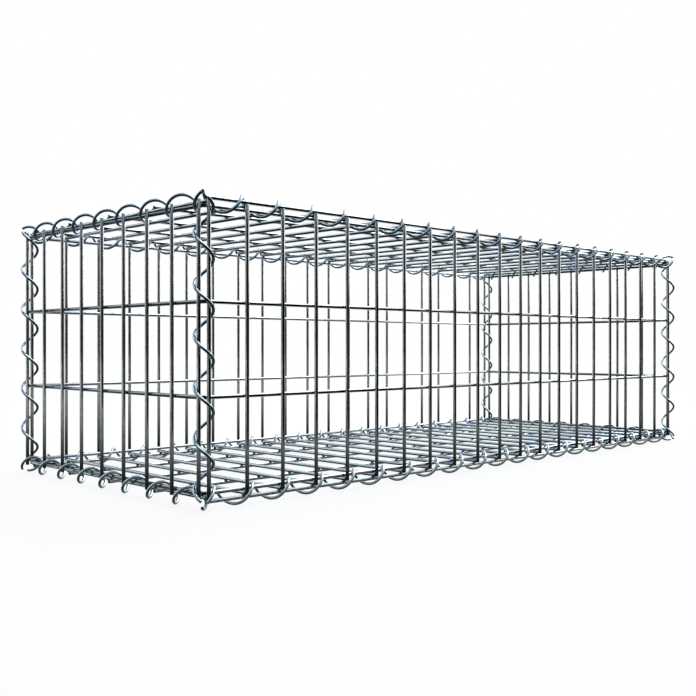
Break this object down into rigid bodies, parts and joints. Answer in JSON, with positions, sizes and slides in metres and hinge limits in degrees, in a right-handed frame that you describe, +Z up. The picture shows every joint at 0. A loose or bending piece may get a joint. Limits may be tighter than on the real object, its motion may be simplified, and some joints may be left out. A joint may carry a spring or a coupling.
{
  "type": "gabion basket",
  "caption": "Empty box-shaped gabion basket of welded steel wire mesh, with spiral wires joining its panels along every edge, to be filled with stone.",
  "frame": {"origin": "on the ground, under the middle of the basket", "axes": "+X along the length, +Y across the width from the front wall to the back wall, +Z up"},
  "size_m": [1.0342, 0.4301, 0.3355],
  "materials": {
    "mesh_wire": "zinc and aluminium coated drawn wire, satin to bright",
    "spiral_wire": "zinc and aluminium coated drawn wire, bright"
  },
  "bodies": {
    "root": {"front_wall_uprights": "mesh_wire", "front_wall_rails": "mesh_wire", "back_wall_uprights": "mesh_wire", "back_wall_rails": "mesh_wire", "left_end_uprights": "mesh_wire", "left_end_rails": "mesh_wire", "right_end_uprights": "mesh_wire", "right_end_rails": "mesh_wire", "lid_long_wires": "mesh_wire", "lid_cross_wires": "mesh_wire", "base_long_wires": "mesh_wire", "base_cross_wires": "mesh_wire", "front_left_corner_spiral": "spiral_wire", "front_right_corner_spiral": "spiral_wire", "back_left_corner_spiral": "spiral_wire", "back_right_corner_spiral": "spiral_wire", "lid_front_spiral": "spiral_wire", "lid_back_spiral": "spiral_wire", "lid_left_spiral": "spiral_wire", "lid_right_spiral": "spiral_wire", "base_front_spiral": "spiral_wire", "base_back_spiral": "spiral_wire", "base_left_spiral": "spiral_wire", "base_right_spiral": "spiral_wire"}
  },
  "joints": []
}
